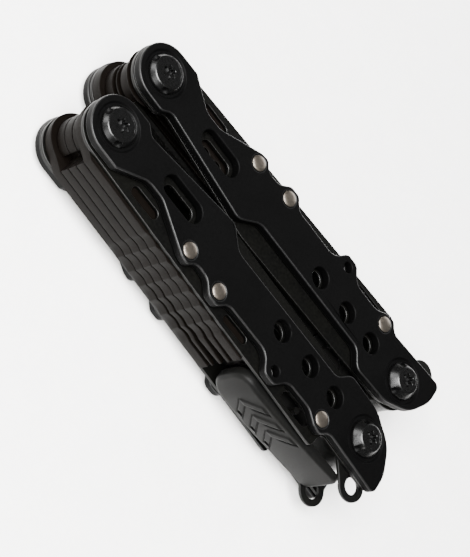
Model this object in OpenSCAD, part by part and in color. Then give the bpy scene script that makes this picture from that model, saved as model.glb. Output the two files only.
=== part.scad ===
// Folding multi tool, closed: two handles lie side by side round a folded pair of pliers.
// Each handle is a channel of two liners under two covers. Five tools hang on the axle at one
// end, the plier tang on the axle at the other, and a lock slide rides in the open side.
// The rear handle is the mirror of the front one, but for its five tools.

/* [Handles] */
// Distance along a handle between its tool axle and its plier axle
axle_span = 92; // [90:0.5:95]
// Distance between the two handles' pivot lines when closed
handle_pitch = 18.9; // [18.9:0.1:20]
// Radius of the handle's end round the tool axle
barrel_r = 7; // [6.9:0.05:7.2]
// How far the handle reaches beyond its plier axle
end_reach = 9.7; // [9.5:0.1:9.8]
// Radius of the bends that round the handle's end beyond the plier axle
end_bend_r = 8; // [6:0.5:8]

/* [Plates] */
// Inside width of the channel, between the liners
channel_w = 14.2; // [14.2:0.1:15]
// Thickness of a liner
liner_t = 0.9; // [0.6:0.1:1]
// Gap between a liner and its cover, held by the washers
cover_gap = 0.4; // [0.3:0.05:0.6]
// Thickness of a cover
cover_t = 2.2; // [1.8:0.1:2.5]

/* [Tools] */
// Thickness of a folded tool
tool_t = 2.6; // [2.2:0.1:2.65]
// Distance from the tool axle to the end of a folded tool
tool_reach = 56.5; // [54:0.5:57]
// Distance from the tool axle to the first thumb scallop
scallop_start = 20.4; // [16:0.1:22]
// Length of one thumb scallop
scallop_pitch = 4.1; // [3.5:0.1:4.2]
// Depth of a thumb scallop
scallop_depth = 0.4; // [0.2:0.05:0.6]

/* [Screws] */
// Height of a tool screw's head over its cover
tool_head_h = 1.3; // [1:0.1:1.5]
// Height of a plier screw's head over its cover
plier_head_h = 2; // [1.8:0.1:2.4]
// Radius of the recess in the cover round a screw head
recess_r = 5.4; // [5.1:0.1:5.6]

/* [Lock slides] */
// Length of a lock slide
slide_len = 36.6; // [34:0.1:36.6]
// Width of a lock slide
slide_w = 12.2; // [11:0.1:12.2]
// Way that a lock slide travels towards the tools
slide_travel = 2; // [1:0.1:2]

/* [Pliers] */
// Distance from the handles' plier axles back to the jaw rivet
jaw_back = 16; // [15.5:0.1:16.5]
// Length of the jaws from the rivet to the tips
jaw_len = 45; // [40:0.5:46]
// Thickness of the plier head at the rivet
head_t = 9; // [8:0.5:10]

/* [Hidden] */
$fn = 64;

// layers, measured from the middle plane outwards
liner_z = channel_w / 2;
cover_z = liner_z + liner_t + cover_gap;
cover_top = cover_z + cover_t;
half_height = cover_top + plier_head_h;

// the closed tool stands on its screw heads, centred on its length and width
middle_x = (axle_span + end_reach - barrel_r) / 2;

// pins and holes
axle_r = 2.5;
bore_gap = 0.05;
thread_r = 1.4;
rivet_spots = [[29.75, -5.6], [40.9, -6.4], [79.6, -6.3]];
rivet_r = 1.87;
hole_spots = [[58.95, 0.45], [69.7, 0.45], [79.4, 0.45]];
slot_from = [17.7, 1.5];
slot_len = 7;
empty_hole = [63.2, -8];

// tools
tang_r = 6.9;
drum_r = 5.6;
tool_pitch = channel_w / 5;
spine_y = 8.4;
spine_slope = 0.042;
heel_x = 1.3;

// plier head
lap_gap = 0.1;
lap_r = 6.9;
tang_core = 6.5;
eye_plate_t = 0.8;
eye = [5.9, -8.85];
eye_r = 2;
eye_rim_r = 3.75;

// ---- small helpers ----

function unit(v) = v / norm(v);

// the arc of radius r that rounds corner b between its neighbours a and c
function corner_arc(a, b, c, r) =
    let (u = unit(a - b), v = unit(c - b), half = acos(u * v) / 2)
    let (centre = b + unit(u + v) * r / sin(half))
    let (p = b + u * r / tan(half) - centre, q = b + v * r / tan(half) - centre)
    let (start = atan2(p.y, p.x), turn = atan2(p.x * q.y - p.y * q.x, p * q))
    let (steps = max(1, ceil(abs(turn) / 9)))
    [for (i = [0:steps]) centre + r * [cos(start + turn * i / steps), sin(start + turn * i / steps)]];

// a closed outline through corners [x, y, radius], each rounded by its radius
function rounded(corners) =
    let (n = len(corners))
    [for (i = [0:n - 1])
        let (a = corners[(i + n - 1) % n], b = corners[i], c = corners[(i + 1) % n])
        each b.z == 0 ? [[b.x, b.y]]
            : corner_arc([a.x, a.y], [b.x, b.y], [c.x, c.y], b.z)];

module plate(z, t) {
    translate([0, 0, z])
        linear_extrude(t)
            children();
}

module stadium(from, length, r) {
    translate(from)
        circle(r);
    translate(from + [length, 0])
        circle(r);
    translate(from - [0, r])
        square([length, 2 * r]);
}

module front_place() {
    translate([-middle_x, -handle_pitch / 2, half_height])
        children();
}

module rear_place() {
    translate([-middle_x, handle_pitch / 2, half_height])
        mirror([0, 1, 0])
            children();
}

module both_sides() {
    children();
    mirror([0, 0, 1])
        children();
}

// ---- covers and liners ----

module cover_outline() {
    x = axle_span - 92;
    end_x = axle_span + end_reach;
    polygon(rounded([
        [-barrel_r, barrel_r, barrel_r - 0.01],
        [4.7, 7.2, 2], [6.9, 5.3, 2.5], [34.2, 8.8, 3], [39.2, 4.6, 4],
        [x + 76.9, 4.6, 3], [x + 79.9, 8.4, 3],
        [x + 90.8, 7.8, end_bend_r], [x + 98.3, 3.9, end_bend_r],
        [end_x, -2.6, end_bend_r], [end_x, -8.3, 1.6],
        [x + 83.4, -7.05, 2.5], [x + 81.2, -9.4, 1.6], [x + 78.6, -8.95, 2.2], [x + 75.4, -7.1, 4],
        [67.6, -7.1, 3], [64.9, -10.6, 2], [61.3, -10.6, 2], [58.6, -6.65, 4],
        [44.9, -6.6, 2.5], [42.5, -9.3, 1.5], [39.6, -9.2, 1.8], [36.8, -6.6, 3],
        [33.1, -6.4, 2.5], [31.2, -8.5, 1.4], [29, -8.2, 2],
        [17.6, -2.75, 4.5], [12.8, -2.75, 4.5], [5.3, -7.25, 0.8],
        [-barrel_r, -barrel_r, barrel_r - 0.01]
    ]));
}

module cover() {
    difference() {
        plate(cover_z, cover_t)
            cover_outline();
        plate(cover_z - 1, cover_t + 2) {
            stadium(slot_from, slot_len, 2.6);
            for (spot = hole_spots)
                translate(spot)
                    circle(2.5);
            for (spot = rivet_spots)
                translate(spot)
                    circle(rivet_r - 0.6);
            translate(empty_hole)
                circle(1.25);
        }
        // each screw sits in a round recess over a hole for its shank
        for (x = [0, axle_span])
            translate([x, 0, 0]) {
                translate([0, 0, cover_top - 0.5])
                    cylinder(r = recess_r, h = 1);
                translate([0, 0, cover_z - 1])
                    cylinder(r = thread_r + bore_gap, h = cover_t + 2);
            }
        for (spot = rivet_spots)
            translate([spot.x, spot.y, cover_top - 0.3])
                cylinder(r = rivet_r + 0.1, h = 1);
    }
}

module liner_outline() {
    x = axle_span - 92;
    end_x = axle_span + end_reach;
    polygon(rounded([
        [-tang_r, tang_r, tang_r - 0.01],
        [4.6, 7, 2], [6.9, 5.1, 2.5], [34, 8.7, 3], [38.4, 9.25, 1],
        [x + 77, 8.1, 2], [x + 80.5, 7.9, 2],
        [x + 90.5, 7.3, end_bend_r], [x + 97.9, 3.5, end_bend_r],
        [end_x - 0.5, -2.8, end_bend_r], [end_x - 0.5, -7.8, 1.2],
        [x + 83.2, -7, 1.5], [x + 82.3, -11.6, 1],
        [0.5, -7.5, 4], [-tang_r, -tang_r, tang_r - 0.3]
    ]));
}

module liner() {
    difference() {
        plate(liner_z, liner_t)
            liner_outline();
        plate(liner_z - 1, liner_t + 2) {
            stadium(slot_from + [1, 0], slot_len - 1, 1.75);
            for (spot = hole_spots)
                translate(spot)
                    circle(2.15);
            for (spot = rivet_spots)
                translate(spot)
                    circle(rivet_r - 0.6);
            translate(empty_hole)
                circle(1.25);
            // lightening slots that show beyond the cover's scallops
            stadium([13, -5.2], 6, 1.25);
            stadium([47.5, -7.6], 6, 1);
            // the lock slide's pin runs in this one
            stadium([70.7, -8.3], 6.6, 1.6);
        }
        for (x = [0, axle_span])
            translate([x, 0, liner_z - 1])
                cylinder(r = axle_r, h = liner_t + 2);
    }
}

module cover_rivets() {
    both_sides()
        for (spot = rivet_spots)
            translate([spot.x, spot.y, 0]) {
                translate([0, 0, cover_top - 0.3])
                    cylinder(r1 = rivet_r, r2 = rivet_r - 0.2, h = 0.5);
                translate([0, 0, liner_z + 0.05])
                    cylinder(r = rivet_r - 0.6, h = cover_top - liner_z - 0.3);
                translate([0, 0, liner_z + liner_t])
                    cylinder(r = rivet_r, h = cover_gap);
            }
}

module gap_washers() {
    both_sides()
        for (x = [0, axle_span])
            translate([x, 0, liner_z + liner_t])
                difference() {
                    cylinder(r = 6, h = cover_gap);
                    translate([0, 0, -1])
                        cylinder(r = axle_r, h = cover_gap + 2);
                }
}

// ---- axles and screws ----

module axle() {
    difference() {
        translate([0, 0, -cover_z])
            cylinder(r = axle_r, h = 2 * cover_z);
        both_sides()
            translate([0, 0, cover_z - 6])
                cylinder(r = thread_r, h = 7);
    }
}

// a conical head with a flat top, three thumb notches and a six-lobed socket
module screw(head_h, base_r, top_r, notches) {
    seat = cover_top - 0.5;
    difference() {
        union() {
            translate([0, 0, seat])
                cylinder(r = base_r, h = 0.8);
            translate([0, 0, seat + 0.8])
                cylinder(r1 = base_r, r2 = top_r, h = head_h - 0.3);
            translate([0, 0, cover_z - 5.5])
                cylinder(r = thread_r - bore_gap, h = seat - cover_z + 5.6);
        }
        plate(cover_top + head_h - 1.1, 2) {
            circle(1.15);
            for (turn = [0:60:300])
                rotate(turn)
                    translate([1.15, 0])
                        circle(0.42, $fn = 24);
        }
        for (turn = notches)
            rotate(turn)
                translate([base_r, 0, seat + 0.4])
                    cylinder(r = 0.8, h = head_h + 1, $fn = 24);
    }
}

module tool_screws() {
    both_sides()
        screw(tool_head_h, 4.5, 3.6, [-60, 60, 180]);
}

module plier_screws() {
    both_sides()
        translate([axle_span, 0, 0])
            screw(plier_head_h, 4.4, 3, [-100, 20, 140]);
}

module spacer() {
    translate([61, -3.2, -liner_z])
        cylinder(r = 1.8, h = channel_w);
}

// ---- lock slide ----

// outline of the slide seen from the side of the handle: a long crowned bar
module slide_profile() {
    x0 = axle_span + 3.5 - slide_len;
    x1 = axle_span + 3.5;
    polygon(rounded([
        [x0, -9.2, 0.4], [x0 + 0.4, -12.2, 2], [x0 + 7, -12.9, 8], [x1 - 6, -11.3, 8],
        [x1, -10.7, 1.2], [x1, -8.9, 0.4], [x1 - 12, -9.2, 2], [x0 + 20, -9.6, 3]
    ]));
}

// outline of the slide seen from outside: a broad round nose and a blunter tail
module slide_plan() {
    x0 = axle_span + 3.5 - slide_len;
    x1 = axle_span + 3.5;
    h = slide_w / 2;
    polygon(rounded([
        [x0, -h, 4.5], [x1, -h, 2.5], [x1, h, 2.5], [x0, h, 4.5]
    ]));
}

// three raised arrow strokes that point towards the tools
module chevrons() {
    x0 = axle_span + 3.5 - slide_len;
    for (i = [0:2])
        translate([x0 + 8.6 + 5 * i, 0])
            polygon([[0, 0], [4.2, 4.6], [6.2, 4.6], [2.3, 0], [6.2, -4.6], [4.2, -4.6]]);
}

module lock_slide() {
    x0 = axle_span + 3.5 - slide_len;
    difference() {
        intersection() {
            plate(-slide_w / 2, slide_w)
                slide_profile();
            rotate([90, 0, 0])
                plate(8, 6)
                    slide_plan();
        }
        // grooves behind the arrow strokes
        rotate([90, 0, 0])
            plate(12.15, 2)
                translate([2.2, 0])
                    intersection() {
                        chevrons();
                        translate([0, 0.6])
                            square([200, 10]);
                    }
    }
    // the web that reaches down into the channel and holds the pin and the bar
    difference() {
        translate([x0 + 12, -9.8, -4])
            cube([5.9, 12, 8]);
        translate([x0 + 15.6, -8.3, -10])
            cylinder(r = 0.8, h = 20);
    }
}

module slide_pin() {
    x0 = axle_span + 3.5 - slide_len;
    translate([x0 + 15.6, -8.3, -liner_z - liner_t])
        cylinder(r = 0.8, h = channel_w + 2 * liner_t);
}

// the strip from the slide's web, under the tools, to the tooth beside the tangs
module lock_bar() {
    x0 = axle_span + 3.5 - slide_len;
    plate(-4, 8)
        polygon(rounded([
            [x0 + 12, 1.3, 0], [x0 + 12, 2.2, 0], [31.5, 2.2, 3], [27.5, 6.9, 2],
            [1, 6.9, 0.3], [1, 5.75, 0], [27, 5.75, 2], [30.8, 1.3, 3]
        ]));
}

// ---- tools ----

function spine(x) = -(spine_y + spine_slope * x);

// the tool's back, with seven hollow thumb scallops between sharp ridges
function back() = concat(
    [[heel_x, spine(heel_x)]],
    [for (k = [0:6], i = [0:5])
        let (x = scallop_start + scallop_pitch * (k + i / 5))
        [x, spine(x) + scallop_depth * sin(36 * i)]],
    [[tool_reach, spine(tool_reach)]]
);

// one folded tool: its tang on the axle, its back, and the edge that makes it what it is
module tool(layer, edge) {
    outer = abs(layer) == 2;
    translate([0, 0, -layer * tool_pitch])
        difference() {
            plate(-tool_t / 2, tool_t) {
                circle(outer ? tang_r : drum_r);
                polygon(concat(outer ? [[-2.6, -6.3]] : [], back(), edge, [[6, 1], [2, 0]]));
            }
            // lock notch in the tang, beside the heel
            if (!outer)
                translate([-0.5, -10, -5])
                    cube([heel_x + 0.5, 10 - 3.7, 10]);
            translate([0, 0, -5])
                cylinder(r = axle_r + bore_gap, h = 10);
        }
}

// a rounded point and belly, then a straight cutting edge
function blade_tip() = [for (a = [0:15:75])
    [tool_reach - 22 + 22 * cos(a), spine(tool_reach) + 1 + 10.6 * sin(a)]];

module knife_blade() {
    color("dimgray")
        front_place()
            tool(-2, concat(blade_tip(), [[34.5, 0.8], [12, 0.9], [10.8, -0.6], [9.4, 0.6]]));
}

module large_driver() {
    color("dimgray")
        front_place()
            tool(-1, [[tool_reach, -4.4], [49, -3.6], [43, -1], [12, 0.8]]);
}

module medium_driver() {
    color("dimgray")
        front_place()
            tool(0, [[tool_reach, -6.6], [46, -5.6], [41, -2], [12, 0.6]]);
}

module awl() {
    color("dimgray")
        front_place()
            tool(1, [[tool_reach, -10], [38, -3.8], [34, -1], [12, 0.8]]);
}

module wood_saw() {
    teeth = [for (i = [0:19])
        let (x = 54 - 2 * i, y = -2.6 + 0.08 * 2 * i)
        each [[x, y - 1.2], [x - 1.6, y]]];
    color("dimgray")
        front_place()
            tool(2, concat([[tool_reach, -4.5]], teeth, [[12, 0.7]]));
}

module serrated_blade() {
    teeth = [for (k = [0:4], i = [0:4])
        let (x = 34 - 4 * (k + i / 5))
        [x, 0.8 - 0.9 * sin(36 * i)]];
    color("dimgray")
        rear_place()
            tool(-2, concat(blade_tip(), teeth, [[12, 0.9], [10.8, -0.6], [9.4, 0.6]]));
}

module cross_driver() {
    color("dimgray")
        rear_place()
            tool(-1, [[tool_reach, -9.4], [55.6, -7.2], [53, -5.2], [40, -4.8], [36, -1.5], [12, 0.6]]);
}

module can_opener() {
    color("dimgray")
        rear_place()
            tool(0, [[tool_reach, -7], [53.5, -2], [50.8, -1], [50.2, -4.8], [45, -5.4],
                [41.5, -2], [38, 0], [12, 0.8]]);
}

module bottle_opener() {
    color("dimgray")
        rear_place()
            tool(1, [[tool_reach, -6.6], [53, -2.2], [50, -1.8], [48, -3], [47, -6.4], [40.5, -7],
                [38.6, -3.6], [40, -1.4], [37, 0.4], [12, 0.8]]);
}

module metal_file() {
    color("dimgray")
        rear_place()
            tool(2, [[tool_reach, -2.6], [54.6, -0.8], [12, 0.8]]);
}

// ---- plier head, folded between the handles: x and y from the jaw rivet, which is the origin ----

// the rear jaw's tang, neck and lap ring; the front jaw is its mirror about the length
module tang_neck() {
    tang = [jaw_back, handle_pitch / 2];
    polygon([
        tang + 6.2 * [cos(125), sin(125)], tang + 6.2 * [cos(-55), sin(-55)],
        6.8 * [cos(8), sin(8)], [0, 0], 6.8 * [cos(85), sin(85)]
    ]);
}

// a jaw's nose on the side where y is negative, with its gripping teeth
module nose() {
    grip = lap_gap / 2 + 0.05;
    teeth = [for (i = [0:13])
        let (x = -jaw_len + 1 + 1.2 * i)
        each [[x, -grip], [x + 0.6, -grip - 0.45]]];
    polygon(concat(
        teeth,
        [[-27.5, -grip]],
        [for (a = [15:15:165]) [-23.5 - 4 * cos(a), -grip - 1.6 * sin(a)]],
        [[-19, -grip], [0, -grip], [-2.6, -6.4], [-9, -6.2], [-25, -4.6], [-jaw_len + 1, -2.6],
            [-jaw_len, -1.8], [-jaw_len, -grip]]
    ));
}

module eye_plates() {
    both_sides()
        plate(liner_z - 0.1 - eye_plate_t, eye_plate_t)
            translate([jaw_back, handle_pitch / 2])
                mirror([0, 1])
                    difference() {
                        union() {
                            circle(tang_core);
                            translate(eye)
                                circle(eye_rim_r);
                            polygon([[-5.6, -3], [eye.x - 3.2, eye.y - 1.9], eye,
                                [eye.x + 3.6, eye.y + 1], [6.3, -1]]);
                        }
                        translate(eye)
                            circle(eye_r);
                    }
}

// the jaw whose tang is on the +Y side; its nose lies on the other side of the rivet
module jaw() {
    tang = [jaw_back, handle_pitch / 2];
    difference() {
        union() {
            // lap half round the rivet
            plate(lap_gap / 2, head_t / 2 - lap_gap / 2)
                circle(lap_r);
            difference() {
                plate(-head_t / 2, head_t) {
                    tang_neck();
                    nose();
                }
                // room for the other jaw's lap half
                translate([0, 0, -head_t])
                    cylinder(r = lap_r + 0.3, h = head_t + lap_gap / 2);
            }
            translate([tang.x, tang.y, -liner_z + 0.1])
                cylinder(r = 6.2, h = channel_w - 0.2);
            eye_plates();
        }
        translate([0, 0, -10])
            cylinder(r = 3 + bore_gap, h = 20);
        translate([tang.x, tang.y, -10])
            cylinder(r = axle_r + bore_gap, h = 20);
        // the tips are thinned on both faces
        both_sides()
            translate([-jaw_len - 1, -20, head_t / 2])
                rotate([0, -4, 0])
                    translate([0, 0, -2.2])
                        cube([jaw_len - 6, 40, 10]);
    }
}

module head_place() {
    translate([axle_span - jaw_back - middle_x, 0, half_height])
        children();
}

module rear_jaw() {
    color("gray")
        head_place()
            jaw();
}

module front_jaw() {
    color("gray")
        head_place()
            rotate([180, 0, 0])
                jaw();
}

module jaw_rivet() {
    color("silver")
        head_place() {
            translate([0, 0, -head_t / 2])
                cylinder(r = 3, h = head_t);
            both_sides()
                translate([0, 0, head_t / 2])
                    cylinder(r1 = 4.2, r2 = 3.2, h = 0.8);
        }
}

// a leaf spring on the front tang whose free end bears on the rear one
module jaw_spring() {
    color("silver")
        head_place()
            plate(-2, 4)
                polygon([[8.2, -1.6], [8.8, -1.9], [9.6, 0.7], [9.1, 0.9]]);
}

// ---- the nodes ----

module front_cover_top() {
    color([0.1, 0.1, 0.1])
        front_place()
            cover();
}

module front_cover_bottom() {
    color([0.1, 0.1, 0.1])
        front_place()
            mirror([0, 0, 1])
                cover();
}

module front_liner_top() {
    color([0.2, 0.2, 0.2])
        front_place()
            liner();
}

module front_liner_bottom() {
    color([0.2, 0.2, 0.2])
        front_place()
            mirror([0, 0, 1])
                liner();
}

module front_cover_rivets() {
    color("silver")
        front_place()
            cover_rivets();
}

module front_gap_washers() {
    color([0.2, 0.2, 0.2])
        front_place()
            gap_washers();
}

module front_tool_axle() {
    color("silver")
        front_place()
            axle();
}

module front_tool_screws() {
    color([0.15, 0.15, 0.15])
        front_place()
            tool_screws();
}

module front_plier_axle() {
    color("silver")
        front_place()
            translate([axle_span, 0, 0])
                axle();
}

module front_plier_screws() {
    color([0.15, 0.15, 0.15])
        front_place()
            plier_screws();
}

module front_spacer() {
    color("silver")
        front_place()
            spacer();
}

module front_lock_slide() {
    color([0.3, 0.3, 0.3])
        front_place()
            lock_slide();
}

module front_lock_bar() {
    color("silver")
        front_place()
            lock_bar();
}

module front_slide_pin() {
    color("silver")
        front_place()
            slide_pin();
}

module rear_cover_top() {
    color([0.1, 0.1, 0.1])
        rear_place()
            cover();
}

module rear_cover_bottom() {
    color([0.1, 0.1, 0.1])
        rear_place()
            mirror([0, 0, 1])
                cover();
}

module rear_liner_top() {
    color([0.2, 0.2, 0.2])
        rear_place()
            liner();
}

module rear_liner_bottom() {
    color([0.2, 0.2, 0.2])
        rear_place()
            mirror([0, 0, 1])
                liner();
}

module rear_cover_rivets() {
    color("silver")
        rear_place()
            cover_rivets();
}

module rear_gap_washers() {
    color([0.2, 0.2, 0.2])
        rear_place()
            gap_washers();
}

module rear_tool_axle() {
    color("silver")
        rear_place()
            axle();
}

module rear_tool_screws() {
    color([0.15, 0.15, 0.15])
        rear_place()
            tool_screws();
}

module rear_plier_axle() {
    color("silver")
        rear_place()
            translate([axle_span, 0, 0])
                axle();
}

module rear_plier_screws() {
    color([0.15, 0.15, 0.15])
        rear_place()
            plier_screws();
}

module rear_spacer() {
    color("silver")
        rear_place()
            spacer();
}

module rear_lock_slide() {
    color([0.3, 0.3, 0.3])
        rear_place()
            lock_slide();
}

module rear_lock_bar() {
    color("silver")
        rear_place()
            lock_bar();
}

module rear_slide_pin() {
    color("silver")
        rear_place()
            slide_pin();
}

front_cover_top();
front_cover_bottom();
front_liner_top();
front_liner_bottom();
front_cover_rivets();
front_gap_washers();
front_tool_axle();
front_tool_screws();
front_plier_axle();
front_plier_screws();
front_spacer();
front_lock_slide();
front_lock_bar();
front_slide_pin();
knife_blade();
large_driver();
medium_driver();
awl();
wood_saw();
rear_cover_top();
rear_cover_bottom();
rear_liner_top();
rear_liner_bottom();
rear_cover_rivets();
rear_gap_washers();
rear_tool_axle();
rear_tool_screws();
rear_plier_axle();
rear_plier_screws();
rear_spacer();
rear_lock_slide();
rear_lock_bar();
rear_slide_pin();
serrated_blade();
cross_driver();
can_opener();
bottle_opener();
metal_file();
front_jaw();
rear_jaw();
jaw_rivet();
jaw_spring();
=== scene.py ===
# %% [markdown]
# # Dressing a folding multi tool
#
# The CAD frame already holds every part of the tool at its real size: two handles, ten folding tools
# and a pair of pliers folded between the handles. This lesson gives those parts their looks. Sharp CAD
# corners become rolled, coated and ground edges. The small parts that repeat, such as screws, rivets and
# file teeth, are set out by Geometry Nodes. Each part gets a finish named for how the real one is made.

# %% Load the frame
import math

import bmesh
import bpy
from mathutils import Euler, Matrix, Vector


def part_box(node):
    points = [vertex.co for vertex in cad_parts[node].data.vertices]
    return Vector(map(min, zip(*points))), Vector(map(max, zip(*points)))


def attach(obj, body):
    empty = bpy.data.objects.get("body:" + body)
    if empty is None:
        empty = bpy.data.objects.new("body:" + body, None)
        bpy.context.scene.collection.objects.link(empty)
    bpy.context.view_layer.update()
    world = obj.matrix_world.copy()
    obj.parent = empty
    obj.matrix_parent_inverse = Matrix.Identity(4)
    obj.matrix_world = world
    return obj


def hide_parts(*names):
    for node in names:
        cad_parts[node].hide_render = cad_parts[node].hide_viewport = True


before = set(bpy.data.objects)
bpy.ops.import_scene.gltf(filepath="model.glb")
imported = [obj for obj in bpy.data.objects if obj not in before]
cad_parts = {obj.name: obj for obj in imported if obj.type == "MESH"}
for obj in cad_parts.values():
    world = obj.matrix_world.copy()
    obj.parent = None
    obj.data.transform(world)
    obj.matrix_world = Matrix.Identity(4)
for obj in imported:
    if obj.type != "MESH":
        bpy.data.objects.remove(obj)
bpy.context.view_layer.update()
MM = 0.001
SIDES = ("front", "rear")

# %% [markdown]
# ## Finding places on a handle
#
# Both handles have the same parts, the rear one mirrored. So a place is given once, in millimetres from
# the tool axle: x towards the plier axle, y towards the middle of the tool, z up from the middle plane.
# One function turns that into a point of the frame, for either handle. The axles' boxes say where each
# handle is, so nothing here has to be measured by hand.

# %% Handle coordinates
def middle(node):
    """The middle of a node's box, in the frame."""
    low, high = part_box(node)
    return (low + high) / 2


TOOL_AXLE = {side: middle(f"{side}_tool_axle") for side in SIDES}
INWARD = {"front": 1, "rear": -1}
AXLE_SPAN = (middle("front_plier_axle").x - TOOL_AXLE["front"].x) / MM
COVER_FACE = (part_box("front_cover_top")[1].z - TOOL_AXLE["front"].z) / MM


def at(side, x, y, z=0):
    """The point of the frame, in metres, of a place on a handle given in millimetres."""
    return TOOL_AXLE[side] + Vector((x, y * INWARD[side], z)) * MM


print(f"axles {AXLE_SPAN:.1f} mm apart, cover face {COVER_FACE:.1f} mm above the middle")

# %% [markdown]
# ## One way to add a node
#
# Materials and Geometry Nodes trees are both made of nodes with settings and links. One small function
# adds a node, sets its properties, and fills each input with a link or with a value. A colour is written
# as the sRGB hex value a paint chart gives, and one function turns it to the linear values shaders use.

# %% Nodes and colours
def add(tree, kind, inputs=None, **settings):
    """Adds a node. An input that is a socket becomes a link, anything else becomes its value."""
    node = tree.nodes.new(kind)
    for name, value in settings.items():
        setattr(node, name, value)
    for name, value in (inputs or {}).items():
        if isinstance(value, bpy.types.NodeSocket):
            tree.links.new(value, node.inputs[name])
        else:
            node.inputs[name].default_value = value
    return node


def linear(hex_colour):
    """A hex colour as the linear red, green, blue and alpha that shaders use."""
    parts = [int(hex_colour[i:i + 2], 16) / 255 for i in (1, 3, 5)]
    return tuple(((c + 0.055) / 1.055) ** 2.4 if c > 0.04045 else c / 12.92 for c in parts) + (1.0,)


# %% [markdown]
# ## Finishes
#
# Every finish here is a metal surface with something on it: powder, oxide, nickel, or just the lines
# that grinding leaves. They share one recipe. A broad noise drifts the colour between two close tones,
# as uneven coating and handling do. A fine noise, stretched where the surface was ground, varies the
# roughness and lifts a slight bump. What changes from finish to finish is the numbers, in real
# millimetres. The blacks here are deep, so their base colours and specular levels are set low.

# %% The shared recipe
DRIFT_MM = 9.0


def surface(name, tones, roughness, grain_mm, bump_mm, metallic=0.0, specular=0.5, stretch=(1, 1, 1),
            spread=0.08):
    material = bpy.data.materials.new(name)
    material.use_nodes = True
    tree = material.node_tree
    tree.nodes.clear()
    place = add(tree, "ShaderNodeTexCoord").outputs["Object"]
    lines = add(tree, "ShaderNodeMapping", {"Vector": place, "Scale": stretch}).outputs["Vector"]
    grain = add(tree, "ShaderNodeTexNoise", {"Vector": lines, "Scale": 1 / (grain_mm * MM), "Detail": 3.0})
    drift = add(tree, "ShaderNodeTexNoise", {"Vector": place, "Scale": 1 / (DRIFT_MM * MM), "Detail": 2.0})
    blend = add(tree, "ShaderNodeMath", {0: grain.outputs["Fac"], 1: drift.outputs["Fac"]},
                operation="ADD")
    share = add(tree, "ShaderNodeMapRange", {"Value": blend.outputs[0], "From Min": 0.7, "From Max": 1.3})
    tone = add(tree, "ShaderNodeMix", {0: share.outputs[0], 6: linear(tones[0]), 7: linear(tones[1])},
               data_type="RGBA")
    rough = add(tree, "ShaderNodeMapRange", {
        "Value": grain.outputs["Fac"], "From Min": 0.3, "From Max": 0.7,
        "To Min": roughness - spread, "To Max": roughness + spread})
    bump = add(tree, "ShaderNodeBump", {"Height": grain.outputs["Fac"], "Distance": bump_mm * MM})
    shader = add(tree, "ShaderNodeBsdfPrincipled", {
        "Base Color": tone.outputs[2], "Roughness": rough.outputs[0], "Normal": bump.outputs[0],
        "Metallic": metallic, "Specular IOR Level": specular})
    add(tree, "ShaderNodeOutputMaterial", {"Surface": shader.outputs[0]})
    return material


# %% [markdown]
# ### The finishes, one by one
#
# Powder coat is baked plastic: black, matt, with an orange-peel skin a few tenths of a millimetre wide.
# The liners are blackened steel, thinner and a little glossier. The tools are satin ground and tinted a
# dark, warm grey, with fine lines along them. The slides are painted castings. The screws are polished
# and oil-blackened, so they shine. The rivets are the only bright parts, in warm nickel.

# %% Coated and blackened finishes
# Baked polyester powder over steel: hardly any shine.
powder_coat = surface("black_powder_coat", ("#020202", "#030303"), 0.52, 0.3, 0.01, specular=0.03)
# A paler, shinier powder for rolled edges and upright walls: partly thinner powder at the edge, partly
# painted highlight where edges and walls face the lamps.
powder_wear_and_highlight = surface("powder_coat_edge_and_painted_highlight", ("#040404", "#060606"), 0.42, 0.3, 0.004, specular=0.2)
# Blackened and tumbled sheet steel: dark, with a dull metal glint at a low angle.
black_sheet = surface("blackened_steel_sheet", ("#020202", "#040403"), 0.42, 0.5, 0.006, specular=0.08)
# The sheared edge of that sheet, paler: partly rubbed by the pocket, partly a painted highlight.
sheet_edge_wear_and_highlight = surface("rubbed_sheet_edge_and_painted_highlight", ("#060605", "#0d0c0b"), 0.4, 0.4, 0.004, metallic=0.4)
# Forged and blackened plier steel: a slight scale texture under the oxide.
forged_black = surface("black_oxide_forging", ("#030303", "#050504"), 0.4, 0.8, 0.02, specular=0.12)
# Polished screws dipped in hot oxide: the deepest black here, and the glossiest.
oiled_black = surface("oiled_black_screw", ("#020202", "#030303"), 0.28, 0.6, 0.0005, specular=0.3,
                      spread=0.02)
# Down in the driver socket a rough, dull black keeps the recess dark: painted shade.
socket_painted_shade = surface("driver_socket_painted_shade", ("#020202", "#030303"), 0.7, 0.3, 0.002, specular=0.04)

# %% Bright and satin finishes
GROUND_ALONG = (0.08, 1, 1)
GROUND_ROUND = (1, 1, 0.1)
# Tinted, belt-ground stainless: a dark, warm grey with faint lines along the tool.
ground_tool = surface("satin_ground_tool_steel", ("#040302", "#070504"), 0.5, 0.16, 0.006,
                      specular=0.03, stretch=GROUND_ALONG)
# Its broken edge and the file's teeth, a little paler: partly brushed, partly a painted highlight.
tool_edge_wear_and_highlight = surface("broken_tool_edge_and_painted_highlight", ("#060504", "#090807"), 0.5, 0.2, 0.003, specular=0.04)
# A painted zinc casting, rubbed smooth by the thumb.
painted_casting = surface("painted_grey_casting", ("#050505", "#080807"), 0.46, 0.22, 0.004,
                          specular=0.045)
# Nickel plate over brass, slightly warm and softly polished by a rivet set.
nickel = surface("nickel_plate", ("#7b736a", "#877f75"), 0.32, 0.5, 0.0008, metallic=1.0, spread=0.03)
# Turned steel, oiled and darkened: lines run round the pin.
turned_steel = surface("turned_steel_pin", ("#1f1e1d", "#2b2a29"), 0.38, 0.15, 0.004, metallic=1.0,
                       stretch=GROUND_ROUND)
# Blued spring steel.
blued_spring = surface("blued_spring_steel", ("#2a2f3c", "#3d4350"), 0.3, 0.3, 0.003, metallic=1.0)
print(len(bpy.data.materials), "finishes")

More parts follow.
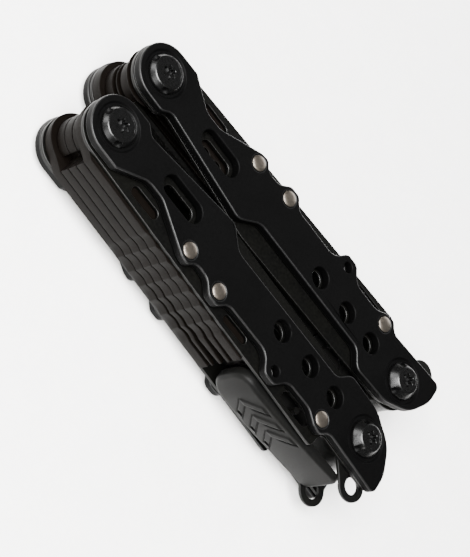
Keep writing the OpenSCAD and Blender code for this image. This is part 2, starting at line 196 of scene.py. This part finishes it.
# %% [markdown]
# ## Camera, light and floor
#
# The tool lies on a pale table and is seen from above its front left corner through a long lens, with the
# camera rolled so that the handles run steeply down the picture. Black parts are shaped only by what
# they reflect. The largest soft box hangs high on the camera's side and lights the table. Two weaker ones
# stand low in front and to the left, so that walls and tool backs turn grey while flat faces stay nearly
# black. The weakest stands behind and draws thin lines along the far edges.

# %% Camera
CAMERA_PLACE = Vector((-129.05, -220.35, 296.6)) * MM
CAMERA_TURN = Euler([math.radians(a) for a in (12.69, -40.08, 40.22)])
camera = bpy.data.objects.new("camera", bpy.data.cameras.new("camera"))
camera.location = CAMERA_PLACE
camera.rotation_euler = CAMERA_TURN
camera.data.sensor_width = 36.0
camera.data.lens = 109.4
camera.data.clip_start = 0.01
bpy.context.scene.collection.objects.link(camera)
bpy.context.scene.camera = camera
print(f"camera {camera.location.length / MM:.0f} mm from the tool's foot, lens {camera.data.lens} mm")

# %% Light and floor
def soft_box(name, place_mm, size_mm, watts):
    """A square light that faces the tool's middle."""
    light = bpy.data.lights.new(name, "AREA")
    light.shape = "SQUARE"
    light.size = size_mm * MM
    light.energy = watts
    holder = bpy.data.objects.new(name, light)
    holder.location = Vector(place_mm) * MM
    holder.rotation_euler = holder.location.to_track_quat("Z", "Y").to_euler()
    bpy.context.scene.collection.objects.link(holder)


soft_box("front_box", (-150, -620, 170), 420, 3.5)
soft_box("left_box", (-620, -60, 330), 320, 4.0)
soft_box("over_box", (-260, -300, 760), 600, 60.0)
soft_box("back_box", (260, 640, 190), 360, 1.5)

world = bpy.data.worlds.new("studio")
world.use_nodes = True
sky = world.node_tree.nodes["Background"]
sky.inputs["Color"].default_value = linear("#f4f4f3")
sky.inputs["Strength"].default_value = 0.2
bpy.context.scene.world = world

floor_material = surface("pale_table_paper", ("#f2f1ef", "#f7f6f4"), 0.85, 1.5, 0.01, specular=0.1)
floor_mesh = bpy.data.meshes.new("table")
FLOOR_HALF = 3.0
floor_mesh.from_pydata([(-FLOOR_HALF, -FLOOR_HALF, 0), (FLOOR_HALF, -FLOOR_HALF, 0),
                        (FLOOR_HALF, FLOOR_HALF, 0), (-FLOOR_HALF, FLOOR_HALF, 0)], [], [(0, 1, 2, 3)])
floor_mesh.materials.append(floor_material)
table = bpy.data.objects.new("table", floor_mesh)
bpy.context.scene.collection.objects.link(table)
print(len(bpy.data.lights), "soft boxes over a floor", 2 * FLOOR_HALF, "m wide")

# %% [markdown]
# ## From CAD solid to finished part
#
# A CAD node is a bag of loose triangles with knife-sharp corners. Real parts never have those: tumbling,
# coating or a file breaks every edge, and that narrow broken edge is what catches the light. So each
# visible part is a copy of its node. The copy's doubled points are merged, flat areas become whole faces,
# and a Bevel modifier rounds what is sharp. The bevel's faces, and the upright faces where asked, can
# carry
# a second, paler finish: partly wear, partly a painted highlight on edges and walls that face the lamps.

# %% Making a dressed copy
CORNER = math.radians(30)
SAME_POINT = 0.001 * MM


def new_object(name, mesh, finishes):
    """An object in the scene that shows mesh in the given finishes."""
    mesh.materials.clear()
    for finish in finishes:
        mesh.materials.append(finish)
    made = bpy.data.objects.new(name, mesh)
    bpy.context.scene.collection.objects.link(made)
    return made


def applied(source, name):
    """A plain object with the source's modifiers in its mesh. The source is removed."""
    bpy.context.view_layer.update()
    graph = bpy.context.evaluated_depsgraph_get()
    mesh = bpy.data.meshes.new_from_object(source.evaluated_get(graph))
    bpy.data.objects.remove(source)
    made = bpy.data.objects.new(name, mesh)
    bpy.context.scene.collection.objects.link(made)
    return made


def dressed(node, body, finish, edge_wear_and_highlight, edge_mm, segments=2, shape=None, painted_light_walls=0):
    """A finished copy of a CAD node, with its edges broken, that rides on body in the node's place.

    painted_light_walls is the number of the finish that the upright faces get: 0 for finish, 1 for
    edge_wear_and_highlight, whose paler tone is painted light on walls that face the lamps.
    """
    form = bmesh.new()
    form.from_mesh(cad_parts[node].data)
    bmesh.ops.remove_doubles(form, verts=form.verts, dist=SAME_POINT)
    bmesh.ops.dissolve_limit(form, angle_limit=math.radians(0.4), verts=form.verts, edges=form.edges)
    if shape:
        shape(form)
    form.normal_update()
    for face in form.faces:
        face.smooth = True
        # Upright faces can take the paler edge finish: painted light on walls that face the lamps.
        face.material_index = painted_light_walls if abs(face.normal.z) < 0.5 else 0
    mesh = bpy.data.meshes.new(node)
    form.to_mesh(mesh)
    form.free()
    rough_copy = new_object(node + "_rough", mesh, (finish, edge_wear_and_highlight))
    bevel = rough_copy.modifiers.new("edges", "BEVEL")
    bevel.width = edge_mm * MM
    bevel.segments = segments
    bevel.limit_method = "ANGLE"
    bevel.angle_limit = CORNER
    bevel.use_clamp_overlap = False
    # The bevel's faces take the paler edge finish: partly wear, partly a painted highlight.
    bevel.material = 1
    rough_copy.modifiers.new("flat_faces_stay_flat", "WEIGHTED_NORMAL").weight = 100
    piece = applied(rough_copy, node + "_dressed")
    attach(piece, body)
    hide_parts(node)
    return piece


# %% [markdown]
# ## Covers and liners
#
# A cover is stamped from 2.2 mm plate, tumbled until its edges are round, and powder coated. Its broken
# edge is wide enough to draw a soft line of light round the whole outline; that edge and the upright walls
# get a paler, shinier powder, partly for thinner powder and partly as painted highlight. Inside the holes,
# the slot and the screw recesses the rims keep the cover's darker face finish, as painted shade. A liner
# is
# thin sheet: its edge is only just taken off, and its paler edge is partly worn coating, partly painted
# highlight.

# %% Rims kept in painted shade
# Each opening as x, y and a radius that takes in its rim, in handle millimetres. The slot takes three.
OPENINGS = ((0, 0, 5.9), (AXLE_SPAN, 0, 5.9), (58.95, 0.45, 3.0), (69.7, 0.45, 3.0), (79.4, 0.45, 3.0),
            (63.2, -8, 1.8), (17.7, 1.5, 3.1), (21.2, 1.5, 3.1), (24.7, 1.5, 3.1))


def paint_shade_in_openings(cover, side):
    """Gives the faces in and round the openings the cover's darker face finish as painted shade, and
    counts them.
    """
    dark = 0
    for face in cover.data.polygons:
        if any((face.center - at(side, x, y)).xy.length < radius * MM for x, y, radius in OPENINGS):
            face.material_index = 0
            dark += 1
    return dark


# %% Covers and liners
COVER_EDGE_MM = 0.34
LINER_EDGE_MM = 0.1
for side in SIDES:
    for level in ("top", "bottom"):
        # The covers' edges and upright walls take the paler powder: partly thinner powder, partly painted
        # highlight.
        cover = dressed(f"{side}_cover_{level}", f"{side}_handle", powder_coat, powder_wear_and_highlight,
                        COVER_EDGE_MM, segments=3, painted_light_walls=1)
        print(cover.name, paint_shade_in_openings(cover, side), "faces kept dark")
        # The liners' broken edge takes the paler sheet finish: partly worn coating, partly a painted
        # highlight.
        dressed(f"{side}_liner_{level}", f"{side}_handle", black_sheet, sheet_edge_wear_and_highlight,
                LINER_EDGE_MM, segments=1)
print("covers and liners dressed")

# %% [markdown]
# ## The folded tools
#
# The ten tools are blanked from plate and then ground. On a blade the grind is what matters: from its
# bevel line the flank runs down to a thin edge. To make it, the copy is cut along the bevel line, and
# every point beyond the line moves towards the middle of the plate in step with its distance. The same
# function thins the flat driver tips, sharpens the can opener's hook and gives the awl its point.

# %% Grinding a tool
def ground(side, start, end, width, land=0.08):
    """A function that thins a tool beyond the line start-end, to land of its thickness after width."""
    a = at(side, *start)
    b = at(side, *end)
    along = (b - a).normalized()
    away = Vector((-along.y, along.x, 0)) * INWARD[side]

    def shape(form):
        low = min(v.co.z for v in form.verts)
        high = max(v.co.z for v in form.verts)
        level = (low + high) / 2
        for share in (0, 0.5):
            bmesh.ops.bisect_plane(form, geom=form.verts[:] + form.edges[:] + form.faces[:],
                                   plane_co=a + away * width * MM * share, plane_no=away)
        for vert in form.verts:
            depth = (vert.co - a).dot(away) / (width * MM)
            if depth > 0.001:
                vert.co.z = level + (vert.co.z - level) * (1 - (1 - land) * min(depth, 1))

    return shape


# Each grind by its bevel line's two ends, the width of the ground band, and the share of the thickness
# left beyond it.
TOOLS = {
    "knife_blade": ground("front", (12, -4.6), (60, -4.6), 5.4, 0.04),
    "large_driver": ground("front", (42, 10), (42, -20), 15, 0.35),
    "medium_driver": ground("front", (44, 10), (44, -20), 13, 0.3),
    "awl": ground("front", (30, 10), (30, -20), 27, 0.2),
    "wood_saw": ground("front", (12, -5.5), (60, -5.5), 5, 0.45),
    "serrated_blade": ground("rear", (12, -4.6), (60, -4.6), 5.4, 0.04),
    "cross_driver": None,
    "can_opener": ground("rear", (38, -3), (60, -3), 3, 0.15),
    "bottle_opener": None,
    "metal_file": None,
}
TOOL_EDGE_MM = 0.14
# Each tool's broken edge takes the paler edge finish: partly wear, partly a painted highlight.
for tool, shape in TOOLS.items():
    dressed(tool, tool, ground_tool, tool_edge_wear_and_highlight, TOOL_EDGE_MM, segments=1, shape=shape)
print(len(TOOLS), "tools ground")

# %% [markdown]
# ## The plier head
#
# The jaws are forged, then blackened. Their edges are rounder than a stamped part's. The rivet and the
# spring keep their CAD shapes, with edges broken.

# %% Jaws and rivet
JAW_EDGE_MM = 0.12
dressed("front_jaw", "front_jaw", forged_black, forged_black, JAW_EDGE_MM)
dressed("rear_jaw", "rear_jaw", forged_black, forged_black, JAW_EDGE_MM)
dressed("jaw_rivet", "front_jaw", turned_steel, turned_steel, 0.2)
dressed("jaw_spring", "front_jaw", blued_spring, blued_spring, 0.06, segments=1)
print("plier head dressed, jaw edges", JAW_EDGE_MM, "mm")

# %% [markdown]
# ## Lock slides
#
# A lock slide is a zinc casting with a crowned back, which the thumb pushes. Its nose is broad and round,
# its tail blunter, and three arrow strokes stand on its back, each with a groove behind one arm and a
# small pocket at the end of the other. All of that is one height rule over a fine grid, so the grid is
# bent into the crown, dropped at the rim and lifted at the strokes. A second, flat grid closes the
# casting below.

# %% The slide's plan and profile
SLIDE_STEP = 0.2
RIM_R = 1.0
NOSE_R, TAIL_R = 4.4, 2.4
CROWN_MM = 0.35
# Height of the back above the tool axle, by share of the length from the nose.
BACK_LINE = ((0, 12.0), (0.18, 12.55), (0.42, 12.5), (0.8, 11.55), (1, 10.9))
# The casting's flat base, and the block below it that reaches to the lock bar: middle and size in mm.
BASE_Y = -9.3
WEB_X, WEB_Y = 14.95, -3.6
WEB_SIZE = (5.9, 11.6, 8)
CAST_CORNER = math.radians(50)


def along_back(share):
    """Height of the slide's back at a share of its length, eased between the places in BACK_LINE."""
    for (s0, h0), (s1, h1) in zip(BACK_LINE, BACK_LINE[1:]):
        if share <= s1:
            t = (share - s0) / (s1 - s0)
            return h0 + (h1 - h0) * t * t * (3 - 2 * t) if h0 < h1 and s0 == 0 else h0 + (h1 - h0) * t
    return BACK_LINE[-1][1]


def rim_distance(x, z, length, half):
    """How far inside the slide's rounded plan a place lies."""
    corner = NOSE_R if x < length / 2 else TAIL_R
    dx = abs(x - length / 2) - (length / 2 - corner)
    dz = abs(z) - (half - corner)
    outside = math.hypot(max(dx, 0), max(dz, 0))
    return corner - outside - min(max(dx, dz), 0)


# %% [markdown]
# ### The arrow strokes
#
# A place's distance behind a stroke's leading edge says what it belongs to. Going back from that edge on
# the upper arm there is a lit step, a flat top, and a sharp groove that is deepest near its outer end. The
# lower arm is lower, with a scribed line at its edges and a little square pocket at its tip.

# %% Stroke relief
STROKE_COUNT, STROKE_PITCH, FIRST_STROKE = 3, 5.0, 6.4
ARM_SLOPE, ARM_REACH, ARM_WIDTH = 0.85, 4.6, 2.0
ARM_LIFT, LOWER_ARM_SHARE = 0.3, 0.6
GROOVE_DEPTH, SCRIBED_DEPTH, POCKET_DEPTH = 0.8, 0.24, 0.7


def smooth_step(value, low, high):
    """0 up to low, 1 from high on, and an eased rise between."""
    t = min(max((value - low) / (high - low), 0), 1)
    return t * t * (3 - 2 * t)


def band(value, low, high, soft):
    """1 between low and high, 0 outside, with flanks twice soft wide."""
    return smooth_step(value, low - soft, low + soft) * (1 - smooth_step(value, high - soft, high + soft))


def relief(x, z):
    """How far the strokes lift the back at a place x mm behind the nose, z mm off the middle plane."""
    lift = 0
    for number in range(STROKE_COUNT):
        behind = x - FIRST_STROKE - STROKE_PITCH * number - ARM_SLOPE * abs(z)
        if not -1 < behind < ARM_WIDTH + 1.5:
            continue
        reach = 1 - smooth_step(abs(z), ARM_REACH - 0.5, ARM_REACH + 0.1)
        lift += ARM_LIFT * band(behind, 0, ARM_WIDTH, 0.16) * reach * (1 if z > 0 else LOWER_ARM_SHARE)
        if z > 0.4:
            depth = GROOVE_DEPTH * smooth_step(z, 0.4, 2.5)
            lift -= depth * band(behind, ARM_WIDTH + 0.1, ARM_WIDTH + 0.95, 0.12) * reach
        if z < 0:
            scribed = band(behind, -0.28, -0.02, 0.1) + band(behind, ARM_WIDTH, ARM_WIDTH + 0.2, 0.1)
            lift -= SCRIBED_DEPTH * scribed * reach
            lift -= POCKET_DEPTH * band(behind, 0.25, ARM_WIDTH - 0.25, 0.12) * band(-z, 3.3, 4.0, 0.12)
    return lift


# %% Casting a slide
def slide_mesh(name, side, low, high):
    """The crowned casting, in the box low-high that the slide's back takes up, with the web below it."""
    length, half = (high.x - low.x) / MM, (high.z - low.z) / (2 * MM)
    start = (low.x - TOOL_AXLE[side].x) / MM
    columns, rows = round(length / SLIDE_STEP), round(2 * half / SLIDE_STEP)
    form = bmesh.new()
    grids = []
    for inner in (False, True):
        grid = []
        for i in range(columns + 1):
            x = length * i / columns
            corner = NOSE_R if x < length / 2 else TAIL_R
            gap = max(corner - min(x, length - x), 0)
            width = half - corner + math.sqrt(max(corner ** 2 - gap ** 2, 0))
            line = []
            for j in range(rows + 1):
                z = width * (2 * j / rows - 1)
                inside = rim_distance(x, z, length, half)
                drop = RIM_R - math.sqrt(max(RIM_R ** 2 - max(RIM_R - inside, 0) ** 2, 0))
                out = along_back(x / length) - CROWN_MM * (z / half) ** 2 - drop + relief(x, z)
                y = BASE_Y if inner else -out
                line.append(form.verts.new(at(side, start + x, y, z)))
            grid.append(line)
        grids.append(grid)
    for grid in grids:
        for a, b in zip(grid, grid[1:]):
            for j in range(rows):
                form.faces.new((a[j], a[j + 1], b[j + 1], b[j]))
    rims = [[g[i][0] for i in range(columns + 1)] + [g[columns][j] for j in range(1, rows + 1)]
            + [g[i][rows] for i in range(columns - 1, -1, -1)] + [g[0][j] for j in range(rows - 1, 0, -1)]
            for g in grids]
    count = len(rims[0])
    for i in range(count):
        j = (i + 1) % count
        form.faces.new((rims[0][i], rims[0][j], rims[1][j], rims[1][i]))
    web = bmesh.ops.create_cube(form, size=1)["verts"]
    for vert in web:
        x, y, z = (share * size for share, size in zip(vert.co, WEB_SIZE))
        vert.co = at(side, start + WEB_X + x, WEB_Y + y, z)
    bmesh.ops.recalc_face_normals(form, faces=form.faces)
    for face in form.faces:
        face.smooth = True
    mesh = bpy.data.meshes.new(name)
    form.to_mesh(mesh)
    form.free()
    mesh.set_sharp_from_angle(angle=CAST_CORNER)
    return mesh


for side in SIDES:
    low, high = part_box(f"{side}_lock_slide")
    mesh = slide_mesh(f"{side}_lock_slide_cast", side, low, high)
    slide = new_object(f"{side}_lock_slide_cast", mesh, (painted_casting,))
    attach(slide, f"{side}_slide")
    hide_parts(f"{side}_lock_slide")
    print(slide.name, len(mesh.polygons), "faces")

# %% [markdown]
# ## Turned parts
#
# Screws and rivets are turned or headed parts: one profile, spun about an axis. Spinning it by a formula
# lets a ring's radius depend on the angle, which cuts the three thumb notches out of the screw's cone
# and gives the driver socket its six lobes without any boolean.

# %% Spinning a profile
def turned(name, rings, steps):
    """A closed solid turned about Z. A ring is a radius, or a rule for it by angle, and a height."""
    form = bmesh.new()
    rows = []
    for radius, height in rings:
        row = []
        for step in range(steps):
            angle = math.tau * step / steps
            r = radius(angle) if callable(radius) else radius
            row.append(form.verts.new(Vector((r * math.cos(angle), r * math.sin(angle), height)) * MM))
        rows.append(row)
    for lower, upper in zip(rows, rows[1:]):
        for i in range(steps):
            j = (i + 1) % steps
            form.faces.new((lower[i], lower[j], upper[j], upper[i]))
    bmesh.ops.remove_doubles(form, verts=form.verts, dist=SAME_POINT)
    bmesh.ops.recalc_face_normals(form, faces=form.faces)
    for face in form.faces:
        face.smooth = True
    mesh = bpy.data.meshes.new(name)
    form.to_mesh(mesh)
    form.free()
    mesh.set_sharp_from_angle(angle=CORNER)
    return mesh


# %% [markdown]
# ## A screw's profile
#
# From the recess up: a short wall, a cone, a narrow rim and a flat top with the socket sunk in it, which
# has its own rough, dull finish that keeps it dark as painted shade. Heights are counted from the cover's
# face. The notches are circles centred on the foot of the cone, so a notch's ring comes in to where that
# circle cuts the ray at each angle.

# %% Screw heads
NOTCH_R = 0.95
SOCKET_R = 1.4
LOBE_R = 0.3
RECESS = 0.5
SOCKET_DEPTH = 1.3
SHANK_R = 1.35
SHANK_END = -7.6


def notched(radius, base_r, turns):
    """The ring's radius, cut back where one of the notches bites into it."""
    def rule(angle):
        for turn in turns:
            offset = (angle - math.radians(turn) + math.pi) % math.tau - math.pi
            reach = NOTCH_R ** 2 - (base_r * math.sin(offset)) ** 2
            if abs(offset) < 1 and reach > 0:
                return min(radius, base_r * math.cos(offset) - math.sqrt(reach))
        return radius

    return rule


def six_lobed(scale):
    """The socket's outline as a rule for the ring's radius."""
    return lambda angle: scale * (SOCKET_R + LOBE_R * math.cos(6 * angle))


def screw_mesh(name, head_h, base_r, top_r, turns):
    """A screw with a cone from base_r to top_r, notched at the given turns in degrees."""
    foot = -RECESS + 0.4
    rings = [
        (0, SHANK_END), (SHANK_R, SHANK_END), (SHANK_R, -RECESS), (base_r - 0.15, -RECESS),
        (base_r, -RECESS + 0.12), (base_r, foot), (notched(base_r, base_r, turns), foot),
        (notched(base_r - 0.08, base_r, turns), 0.28), (notched(base_r - 0.2, base_r, turns), 0.42),
        (notched(top_r + 0.22, base_r, turns), head_h - 0.2), (top_r + 0.06, head_h - 0.06),
        (top_r - 0.12, head_h), (top_r - 0.45, head_h), (top_r - 0.5, head_h - 0.06),
        (six_lobed(1.06), head_h - 0.06), (six_lobed(1.0), head_h - 0.14),
        (six_lobed(0.97), head_h - SOCKET_DEPTH), (0, head_h - SOCKET_DEPTH - 0.15),
    ]
    mesh = turned(name, rings, 144)
    # Faces down in the socket take the second, dull finish: painted shade.
    for face in mesh.polygons:
        sunk = head_h - face.center.z / MM
        if face.center.xy.length < (SOCKET_R + 1.1 * LOBE_R) * MM and 0.08 < sunk < SOCKET_DEPTH + 0.2:
            face.material_index = 1
    return mesh


PLIER_HEAD_H = (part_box("front_plier_screws")[1].z - TOOL_AXLE["front"].z) / MM - COVER_FACE
TOOL_HEAD_H = (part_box("front_tool_screws")[1].z - TOOL_AXLE["front"].z) / MM - COVER_FACE
tool_screw = screw_mesh("tool_screw", TOOL_HEAD_H, 4.5, 3.6, (-60, 60, 180))
plier_screw = screw_mesh("plier_screw", PLIER_HEAD_H, 4.4, 3.0, (-100, 20, 140))
print("screw heads", round(TOOL_HEAD_H, 2), "and", round(PLIER_HEAD_H, 2), "mm high")

# %% [markdown]
# ## Rivets
#
# Each cover is held to its liner by three rivets, headed by a rivet set that leaves a low dome with a
# narrow flat rim.

# %% Rivet profile
RIVET_R = 1.87
RIVET_SPOTS = ((29.75, -5.6), (40.9, -6.4), (79.6, -6.3))
RIM_TOP, DOME_H = 0.05, 0.33
dome = [(RIVET_R * math.cos(math.radians(a)), RIM_TOP + DOME_H * math.sin(math.radians(a)))
        for a in range(0, 91, 15)]
rivet = turned("rivet", [(0, -3.45), (1.25, -3.45), (1.25, -0.28), (RIVET_R, -0.28)] + dome, 40)
print("rivet", len(rivet.polygons), "faces")

# %% [markdown]
# ## Setting parts out with Geometry Nodes
#
# One tree sets copies of a part on a cloud of points. Each point carries the turn its copy needs, so the
# parts on the underside are simply turned over. The tree ends by making the copies real, and its result is
# then kept as a plain mesh.

# %% The setting-out tree
def tree_inputs(tree, sockets):
    """Adds the tree's named inputs and its geometry output, and returns each input's identifier."""
    found = {}
    for name, kind in sockets.items():
        found[name] = tree.interface.new_socket(name, in_out="INPUT", socket_type=kind).identifier
    tree.interface.new_socket("Geometry", in_out="OUTPUT", socket_type="NodeSocketGeometry")
    return found


set_out = bpy.data.node_groups.new("set out on points", "GeometryNodeTree")
SET_OUT = tree_inputs(set_out, {"Points": "NodeSocketGeometry", "Part": "NodeSocketObject"})
given = add(set_out, "NodeGroupInput")
part = add(set_out, "GeometryNodeObjectInfo", {"Object": given.outputs["Part"]})
turn = add(set_out, "GeometryNodeInputNamedAttribute", {"Name": "turn"}, data_type="FLOAT_VECTOR")
copies = add(set_out, "GeometryNodeInstanceOnPoints", {
    "Points": given.outputs["Points"], "Instance": part.outputs["Geometry"],
    "Rotation": turn.outputs["Attribute"]})
real = add(set_out, "GeometryNodeRealizeInstances", {"Geometry": copies.outputs[0]})
add(set_out, "NodeGroupOutput", {"Geometry": real.outputs[0]})


def run_tree(tree, carrier, values, name):
    """Runs a tree on the carrier object and returns its result as a plain object."""
    modifier = carrier.modifiers.new("nodes", "NODES")
    modifier.node_group = tree
    for identifier, value in values.items():
        modifier[identifier] = value
    return applied(carrier, name)


def set_on(points, turns, mesh, finishes, name):
    """Copies of mesh at the points, each with its turn, as one plain object named name."""
    cloud = bpy.data.meshes.new(name)
    cloud.from_pydata([tuple(p) for p in points], [], [])
    attribute = cloud.attributes.new("turn", "FLOAT_VECTOR", "POINT")
    attribute.data.foreach_set("vector", [angle for t in turns for angle in t])
    carrier = new_object(name + "_points", cloud, ())
    part_object = new_object(name + "_part", mesh.copy(), finishes)
    made = run_tree(set_out, carrier, {SET_OUT["Part"]: part_object}, name)
    bpy.data.objects.remove(part_object)
    return made


# %% [markdown]
# ## Screws and rivets on both handles
#
# The same spots serve both faces of both handles. A part for the lower face is turned half a turn about
# the handle's length, which keeps its notches where they are seen from outside.

# %% Set out the screws and rivets
UPRIGHT = (0, 0, 0)
TURNED_OVER = (math.pi, 0, 0)


def both_faces(side, spots):
    """The spots on the top and bottom face of a handle, and the turn that a part needs at each."""
    points = [at(side, x, y, sign * COVER_FACE) for sign in (1, -1) for x, y in spots]
    return points, [UPRIGHT] * len(spots) + [TURNED_OVER] * len(spots)


HARDWARE = {
    "tool_screws": ([(0, 0)], tool_screw, (oiled_black, socket_painted_shade), "screw_black"),
    "plier_screws": ([(AXLE_SPAN, 0)], plier_screw, (oiled_black, socket_painted_shade), "screw_black"),
    "cover_rivets": (RIVET_SPOTS, rivet, (nickel,), "rivet_nickel"),
}
for side in SIDES:
    for kind, (spots, mesh, finishes, slot) in HARDWARE.items():
        points, turns = both_faces(side, spots)
        piece = set_on(points, turns, mesh, finishes, f"{side}_{kind}_set")
        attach(piece, f"{side}_handle")
        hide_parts(f"{side}_{kind}")
        print(piece.name, len(piece.data.polygons), "faces")

# %% [markdown]
# ## Rows of marks
#
# Some details are one small shape repeated along a line, such as the teeth of a file. A second tree makes
# such a row from a count, a start, a step and a turn.

# %% The row tree
row = bpy.data.node_groups.new("row of marks", "GeometryNodeTree")
ROW = tree_inputs(row, {"Mark": "NodeSocketObject", "Count": "NodeSocketInt", "Start": "NodeSocketVector",
                        "Step": "NodeSocketVector", "Turn": "NodeSocketVector"})
given = add(row, "NodeGroupInput")
spots = add(row, "GeometryNodeMeshLine", {"Count": given.outputs["Count"],
                                          "Start Location": given.outputs["Start"],
                                          "Offset": given.outputs["Step"]}, mode="OFFSET")
mark = add(row, "GeometryNodeObjectInfo", {"Object": given.outputs["Mark"]})
marks = add(row, "GeometryNodeInstanceOnPoints", {
    "Points": spots.outputs[0], "Instance": mark.outputs["Geometry"], "Rotation": given.outputs["Turn"]})
real = add(row, "GeometryNodeRealizeInstances", {"Geometry": marks.outputs[0]})
add(row, "NodeGroupOutput", {"Geometry": real.outputs[0]})


def row_of(mesh, count, start, step, turn, finish, name):
    """A row of count copies of mesh, each a step on from the last, as one plain object named name."""
    carrier = new_object(name + "_row", bpy.data.meshes.new(name), ())
    mark_object = new_object(name + "_mark", mesh, (finish,))
    made = run_tree(row, carrier, {ROW["Mark"]: mark_object, ROW["Count"]: count, ROW["Start"]: start,
                                   ROW["Step"]: step, ROW["Turn"]: turn}, name)
    bpy.data.objects.remove(mark_object)
    return made


# %% A solid from an outline
def prism(name, outline, low, high):
    """A closed solid that fills an outline between two heights."""
    count = len(outline)
    points = [Vector((x, y, z)) * MM for z in (low, high) for x, y in outline]
    faces = [tuple(reversed(range(count))), tuple(range(count, 2 * count))]
    faces += [(i, (i + 1) % count, count + (i + 1) % count, count + i) for i in range(count)]
    mesh = bpy.data.meshes.new(name)
    mesh.from_pydata(points, [], faces)
    form = bmesh.new()
    form.from_mesh(mesh)
    bmesh.ops.triangulate(form, faces=form.faces)
    bmesh.ops.recalc_face_normals(form, faces=form.faces)
    form.to_mesh(mesh)
    form.free()
    return mesh


# %% [markdown]
# ## Teeth of the file
#
# A hand file is cut twice, so that its teeth cross. The real teeth are about 0.6 mm apart. Here they are
# drawn 0.9 mm apart, the finest that still reads at arm's length, as two crossing rows of small ridges
# on each flat side.

# %% File teeth
FILE_PITCH, FILE_COUNT = 0.9, 43
FILE_START = (14, -5.2)
FILE_TURN = math.radians(24)
RIDGE_HALF_W, RIDGE_HALF_L, RIDGE_HALF_H = 0.22, 3.4, 0.05
file_low, file_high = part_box("metal_file")
ridge = prism("ridge", ((-RIDGE_HALF_W, -RIDGE_HALF_L), (RIDGE_HALF_W, -RIDGE_HALF_L),
                        (RIDGE_HALF_W, RIDGE_HALF_L), (-RIDGE_HALF_W, RIDGE_HALF_L)),
              -RIDGE_HALF_H, RIDGE_HALF_H)
cuts = []
for face_z, flip in ((file_high.z, 0), (file_low.z, math.pi)):
    for turn_z in (FILE_TURN, -FILE_TURN):
        start = at("rear", *FILE_START)
        start.z = face_z
        # The ridges take the paler edge finish: partly brushed wear, partly a painted highlight.
        cuts.append(row_of(ridge.copy(), FILE_COUNT, start, Vector((FILE_PITCH, 0, 0)) * MM,
                           Euler((flip, 0, turn_z)), tool_edge_wear_and_highlight, f"metal_file_cut_{len(cuts)}"))
for cut in cuts:
    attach(cut, "metal_file")
print(len(cuts), "rows of", FILE_COUNT, "ridges")

# %% [markdown]
# ## Parts that keep their CAD shape
#
# The axles, washers, spacers, guide pins and lock bars are plain turned or cut parts, almost hidden
# inside the handles. Their CAD shapes are right as they are, so they only get their finishes.

# %% Finishes for carried-over parts
PLAIN = {"gap_washers": black_sheet, "tool_axle": turned_steel, "plier_axle": turned_steel,
         "spacer": turned_steel, "lock_bar": black_sheet, "slide_pin": black_sheet}
for side in SIDES:
    for kind, finish in PLAIN.items():
        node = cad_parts[f"{side}_{kind}"]
        node.data.materials.clear()
        node.data.materials.append(finish)
print(len(PLAIN) * len(SIDES), "parts carried over")
